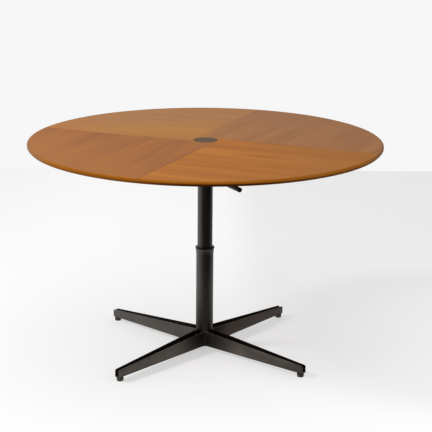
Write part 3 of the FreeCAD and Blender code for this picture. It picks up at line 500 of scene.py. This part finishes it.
def discFinish():
    # turned disc with fine rings, lacquered dark bronze
    finish = Finish("bronzeDisc", {"Specular IOR Level": discLook["gloss"]})
    radius = finish.length(finish.stretch(finish.place, (1.0, 1.0, 0.0)))
    ringPlace = finish.node("ShaderNodeCombineXYZ", None, {"X": radius})
    rings = finish.noise(ringPlace, (1600.0, 1.0, 1.0), 3.0, 0.7)
    cloud = finish.noise(finish.place, (55.0, 55.0, 55.0), 4.0, 0.6)
    colour = finish.blend(cloud * 0.6 + rings * 0.3, discLook["dark"], discLook["light"])
    colour = finish.blend(finish.band(radius, *discLook["edgeRing"]) * 0.7, colour, discLook["edge"])
    finish.relief(rings, 0.00004, 0.5)
    return finish.paint(colour=colour, roughness=discLook["roughness"] + (rings - 0.5) * 0.2)


def dress(material, *names):
    for name in names:
        slots = nodes[name].data.materials
        slots.clear()
        slots.append(material)


# modelling by hand

def pickUp(piece):
    bpy.ops.object.select_all(action="DESELECT")
    piece.select_set(True)
    bpy.context.view_layer.objects.active = piece


def putOn(piece, kind, **settings):
    pickUp(piece)
    modifier = piece.modifiers.new(kind.lower(), kind)
    for name, value in settings.items():
        setattr(modifier, name, value)
    bpy.ops.object.modifier_apply(modifier=modifier.name)


def joinAll(pieces):
    pickUp(pieces[0])
    for piece in pieces:
        piece.select_set(True)
    bpy.ops.object.join()
    return pieces[0]


def copyTo(piece, places):
    # one modelled piece copied to many places and joined
    copies = []
    for place in places:
        extra = piece.copy()
        extra.data = piece.data.copy()
        extra.data.transform(place)
        bpy.context.scene.collection.objects.link(extra)
        copies.append(extra)
    bpy.data.objects.remove(piece)
    return joinAll(copies)


edgeBreak = {          # edges that a file or a casting leaves soft, in metres
    "wing_plate_1": 0.0007, "wing_plate_2": 0.0007, "wing_plate_3": 0.0007, "wing_plate_4": 0.0007,
    "foot_post_1": 0.0006, "foot_post_2": 0.0006, "foot_post_3": 0.0006, "foot_post_4": 0.0006,
    "top_spider": 0.0012, "lever_bracket": 0.0010,
}


def pieceFrom(nodeName, material):
    words = nodeName.split("_")
    name = words[0] + "".join(word.title() for word in words[1:])
    piece = bpy.data.objects.new(name, nodes[nodeName].data.copy())
    bpy.context.scene.collection.objects.link(piece)
    piece.data.materials.clear()
    piece.data.materials.append(material)
    return piece


def softenEdges(nodeName, body, material):
    piece = pieceFrom(nodeName, material)
    pickUp(piece)
    bpy.ops.object.mode_set(mode="EDIT")
    bpy.ops.mesh.select_all(action="SELECT")
    bpy.ops.mesh.remove_doubles(threshold=0.000002)
    bpy.ops.mesh.dissolve_limited(angle_limit=math.radians(0.4))
    bpy.ops.object.mode_set(mode="OBJECT")
    putOn(piece, "BEVEL", width=edgeBreak[nodeName], segments=2, limit_method="ANGLE",
          angle_limit=math.radians(38), use_clamp_overlap=True)
    bpy.ops.object.shade_smooth_by_angle(angle=math.radians(32))
    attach(piece, body)
    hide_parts(nodeName)


weldBead = {
    "radius": 0.0022, "ripple": 0.0034, "fromAxis": 0.0301, "voxel": 0.0006,
    "rows": [
        {"start": (0.0, 0.0070, 0.0165), "step": (0, 0, 1), "count": 14},
        {"start": (0.0, -0.0070, 0.0165), "step": (0, 0, 1), "count": 14},
        {"start": (0.0004, -0.0085, 0.0657), "step": (0, 1, 0), "count": 6},
    ],
}


def makeHubWelds(material):
    # beads down both sides of each plate where it touches the column, and one across the top
    rows = []
    for row in weldBead["rows"]:
        start = Vector(row["start"]) + Vector((weldBead["fromAxis"], 0, 0))
        bpy.ops.object.select_all(action="DESELECT")
        bpy.ops.mesh.primitive_uv_sphere_add(segments=16, ring_count=10, radius=weldBead["radius"],
                                             location=start)
        bead = bpy.context.object
        bpy.ops.object.transform_apply(location=True, rotation=True, scale=True)
        putOn(bead, "ARRAY", count=row["count"], use_relative_offset=False, use_constant_offset=True,
              constant_offset_displace=Vector(row["step"]) * weldBead["ripple"])
        putOn(bead, "REMESH", mode="VOXEL", voxel_size=weldBead["voxel"])
        putOn(bead, "SMOOTH", factor=0.5, iterations=2)
        rows.append(bead)
    quarterTurns = [Matrix.Rotation(math.radians(45 + 90 * quarter), 4, "Z") for quarter in range(4)]
    welds = copyTo(joinAll(rows), quarterTurns)
    welds.name = "hubWelds"
    bpy.ops.object.shade_smooth()
    welds.data.materials.append(material)
    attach(welds, "base")


panScrew = {
    "headRadius": 0.005, "headHeight": 0.003, "crown": 0.0016, "shankRadius": 0.0025, "shankLength": 0.02,
    "recess": (0.0052, 0.0011, 0.0034), "radii": (0.140, 0.272), "beside": 0.011, "plateLow": 0.7115,
    "firstArm": 22.5,      # the spider's arms against the base's
}


def makeSpiderScrews(material):
    # crowned heads with a cross recess, pointing up into the top
    headHeight, shankLength = panScrew["headHeight"], panScrew["shankLength"]
    bpy.ops.object.select_all(action="DESELECT")
    bpy.ops.mesh.primitive_cylinder_add(vertices=32, radius=panScrew["headRadius"], depth=headHeight,
                                        location=(0, 0, -headHeight / 2))
    screw = bpy.context.object
    bpy.ops.object.transform_apply(location=True, rotation=True, scale=True)
    screw.data.polygons.foreach_set("select", [face.normal.z < -0.9 for face in screw.data.polygons])
    bpy.ops.object.mode_set(mode="EDIT")
    bpy.ops.mesh.select_mode(type="FACE")
    bpy.ops.mesh.bevel(offset=panScrew["crown"], segments=4, affect="EDGES")
    bpy.ops.object.mode_set(mode="OBJECT")
    for turn in (0, 90):
        bpy.ops.object.select_all(action="DESELECT")
        bpy.ops.mesh.primitive_cube_add(size=1.0, location=(0, 0, -headHeight))
        cutter = bpy.context.object
        cutter.scale = panScrew["recess"]
        cutter.rotation_euler.z = math.radians(turn)
        bpy.ops.object.transform_apply(location=True, rotation=True, scale=True)
        putOn(screw, "BOOLEAN", operation="DIFFERENCE", solver="EXACT", object=cutter)
        bpy.data.objects.remove(cutter)
    bpy.ops.object.select_all(action="DESELECT")
    bpy.ops.mesh.primitive_cylinder_add(vertices=20, radius=panScrew["shankRadius"], depth=shankLength,
                                        location=(0, 0, shankLength / 2))
    shank = bpy.context.object
    bpy.ops.object.transform_apply(location=True, rotation=True, scale=True)
    joinAll([screw, shank])
    places = []
    for arm in range(4):
        spin = Matrix.Rotation(math.radians(panScrew["firstArm"] + 90 * arm), 4, "Z")
        for count, radius in enumerate(panScrew["radii"]):
            for side in (-1, 1):
                seat = Matrix.Translation((radius, side * panScrew["beside"], panScrew["plateLow"]))
                own = Matrix.Rotation(0.7 * arm + 1.9 * count + 0.5 * side, 4, "Z")    # as each was driven in
                places.append(spin @ seat @ own)
    screws = copyTo(screw, places)
    screws.name = "spiderScrews"
    bpy.ops.object.shade_smooth_by_angle(angle=math.radians(30))
    screws.data.materials.append(material)
    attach(screws, "upper")
    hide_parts("spider_screws")


def makeReturnSpring(material):
    # the return coil, which shortens as the lever pushes the rod down, copied from the part as one rigid
    # piece
    spring = pieceFrom("return_spring", material)
    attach(spring, "upper")
    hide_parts("return_spring")
    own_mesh(spring)


# studio

studio = {
    "wall": 0.935,            # seen straight behind the table
    "wallColour": (0.990, 0.989, 0.991, 1.0),
    "ambient": 0.68,
    "brightSide": (-1.0, 0.2, 0),
    "roomSide": 0.05,         # what a glossy surface sees behind the camera
    "roomFloor": (0.04, 0.04, 0.04),
    "floorSize": (14.0, 9.0),
    "floorEdge": 2.74,        # floor behind the table, then the wall
    "floorColour": (0.55, 0.552, 0.555),
    "floorGlow": 0.47,        # the lit paper, seen by the camera and in reflections
    "frontPaintedLight": 0.06,        # painted pool of light on the floor in front of the table
    "rightPaintedShadow": -0.095,      # painted shadow of the table, behind and to the right
    "leftPaintedShade": -0.04,        # painted shade, a little darker far to the left
    "lampAim": (0, 0, 0.4),
    "lamps": {
        "keyLamp": {"spot": (-3.8, -0.6, 3.5), "size": 0.8, "power": 95.0},
        "fillLamp": {"spot": (2.8, -2.2, 2.6), "size": 2.6, "power": 11.4},
    },
}


def sightRays(graph):
    # seen straight by the camera, and seen in something glossy or clear
    straight = graph.node("ShaderNodeLightPath", out="Is Camera Ray")
    return straight, straight.other("Is Glossy Ray").calc("MAXIMUM", straight.other("Is Transmission Ray"))


def paperFinish():
    # glows only for the camera and in reflections, so it puts no light on the table
    paper = Finish("paleFloor", {"Specular IOR Level": 0.05, "Emission Strength": 1.0})
    straight, shiny = sightRays(paper)
    toneShift = paper.noise(paper.place, (0.8, 0.8, 0.8), 1.0)
    pale = studio["floorColour"]
    tint = paper.blend(toneShift, pale, tuple(level * 0.985 for level in pale))
    grit = paper.noise(paper.place, (300.0, 300.0, 300.0))
    turned = paper.node("ShaderNodeMapping", None, {
        "Vector": paper.place, "Rotation": (0, 0, -math.radians(photoView["turn"]))})
    aside, away, _ = paper.split(turned)
    # glossy surfaces see the floor dark in front of the table and toward the right: a painted reflection of
    # the dark room
    ahead = paper.band(aside * 0.35 - away * 0.94, 0.12, 0.70)
    beyond = ahead.calc("MAXIMUM", paper.band(aside, 0.2, 0.9) * 0.42) * shiny
    tint = paper.blend(beyond, tint, studio["roomFloor"])
    # painted light and shade on the floor: lighter in front, the table's painted shadow behind and to the
    # right, darker far to the left
    front = paper.band(aside * 0.6 - away * 0.8, -0.1, 0.8)
    right = paper.band(aside, 0.05, 0.30) * paper.band(away - aside * 0.5, -0.05, 0.75)
    left = (1 - paper.band(aside, -1.2, -0.5)) * paper.band(away, 0.4, 1.4)
    glow = front * studio["frontPaintedLight"] + right * studio["rightPaintedShadow"] + left * studio["leftPaintedShade"]
    glow = (glow + studio["floorGlow"]) * straight.calc("MAXIMUM", shiny) * (1 - beyond)
    paper.feed(paper.shader.inputs["Emission Color"], glow)
    return paper.paint(colour=tint, roughness=0.85 + grit * 0.1)


def layFloor():
    bpy.ops.object.select_all(action="DESELECT")
    bpy.ops.mesh.primitive_plane_add(size=1.0)
    floor = bpy.context.object
    floor.name = "paleFloor"
    wide, deep = studio["floorSize"]
    centre = fromPhoto(0, studio["floorEdge"] - deep / 2, 0)
    turn = Matrix.Rotation(math.radians(photoView["turn"]), 4, "Z")
    floor.data.transform(Matrix.Translation(centre) @ turn @ Matrix.Diagonal((wide, deep, 1.0, 1.0)))
    floor.data.materials.append(paperFinish())


def lightRoom():
    world = bpy.data.worlds.new("studioRoom")
    bpy.context.scene.world = world
    world.use_nodes = True
    room = Graph(world.node_tree)
    background = world.node_tree.nodes["Background"]
    background.inputs["Color"].default_value = studio["wallColour"]
    direction = room.node("ShaderNodeTexCoord", out="Generated")
    facing = room.toward(direction, fromPhoto(*studio["brightSide"]).normalized())
    reflected = room.band(facing, -0.35, 0.75) * (studio["wall"] - studio["roomSide"]) + studio["roomSide"]
    straight, shiny = sightRays(room)
    level = straight * studio["wall"] + (1 - straight) * (shiny * reflected + (1 - shiny) * studio["ambient"])
    room.feed(background.inputs["Strength"], level)
    for name, lamp in studio["lamps"].items():
        hangLamp(name, **lamp)


def hangLamp(name, spot, size, power):
    lamp = bpy.data.lights.new(name, "AREA")
    lamp.size = size
    lamp.energy = power
    holder = bpy.data.objects.new(name, lamp)
    holder.location = fromPhoto(*spot)
    aim = Vector(studio["lampAim"]) - fromPhoto(*spot)
    holder.rotation_euler = aim.to_track_quat("-Z", "Y").to_euler()
    bpy.context.scene.collection.objects.link(holder)


def setCamera():
    lensData = bpy.data.cameras.new("photoCamera")
    lensData.lens = photoView["lens"]
    lensData.sensor_width = 36.0
    lensData.clip_end = 60.0
    camera = bpy.data.objects.new("photoCamera", lensData)
    heading = Matrix.Rotation(math.radians(photoView["turn"] - photoView["aim"]), 4, "Z")
    tilt = Matrix.Rotation(math.radians(90 - photoView["tilt"]), 4, "X")
    roll = Matrix.Rotation(math.radians(photoView["roll"]), 4, "Z")
    spot = fromPhoto(0, -photoView["distance"], photoView["height"])
    camera.matrix_world = Matrix.Translation(spot) @ heading @ tilt @ roll
    bpy.context.scene.collection.objects.link(camera)
    bpy.context.scene.camera = camera
    bpy.context.scene.view_settings.view_transform = "Standard"


# the table

for index in range(4):
    dress(veneerFinish(index), f"veneer_quarter_{index + 1}")
dress(rimFinish(), "top_rim")
dress(boardFinish(), "top_core", "backing_veneer")
dress(discFinish(), "centre_disc")
print("wood dressed")

columnEnamel = enamelFinish("columnEnamel", enamelLook["column"], 0.75)
armEnamel = enamelFinish("armEnamel", enamelLook["arms"], 0.5)
dress(columnEnamel, "upper_tube")
dress(enamelFinish("sleeveEnamel", enamelLook["sleeve"], 0.85), "lower_tube", "tube_plug")
brightSteel = steelFinish()
dress(brightSteel, "centre_bolt", "clamp_screws", "pivot_pin", "pin_clip", "release_rod", "release_cone",
      "cone_nut", "rod_collar", "collar_pin", "collet")
dress(leverFinish(), "lever_arm")
dress(plasticFinish("blackPlastic"), "lever_grip", "rod_guide", "guide_ring")
dress(plasticFinish("guidePlastic"), "guide_sleeve")
dress(plasticFinish("brownGlide"), "foot_glide_1", "foot_glide_2", "foot_glide_3", "foot_glide_4")
dress(plasticFinish("stopRubber"), "buffer_ring")
print("metal and plastic dressed")

posts = enamelLook["posts"]
postEnamel = enamelFinish("postEnamel", {**enamelLook["arms"], "soot": posts["soot"]}, posts["gloss"])
for index, wing in enumerate(enamelLook["wings"]):
    look = {**enamelLook["arms"], "soot": wing["soot"]}
    # each plate gets its own paler or darker copy of the arm enamel: painted light and shade
    for name in ("dark", "worn"):
        look[name] = tuple(level * share for level, share in zip(look[name], wing["pale"]))
    wingEnamel = enamelFinish(f"wingEnamel{index + 1}", look, wing["gloss"])
    softenEdges(f"wing_plate_{index + 1}", "base", wingEnamel)
    softenEdges(f"foot_post_{index + 1}", "base", postEnamel)
softenEdges("top_spider", "upper", armEnamel)
softenEdges("lever_bracket", "upper", columnEnamel)
makeHubWelds(armEnamel)
makeSpiderScrews(brightSteel)
makeReturnSpring(brightSteel)
print("edges, welds, screws and spring made")

layFloor()
lightRoom()
setCamera()
print("studio ready")
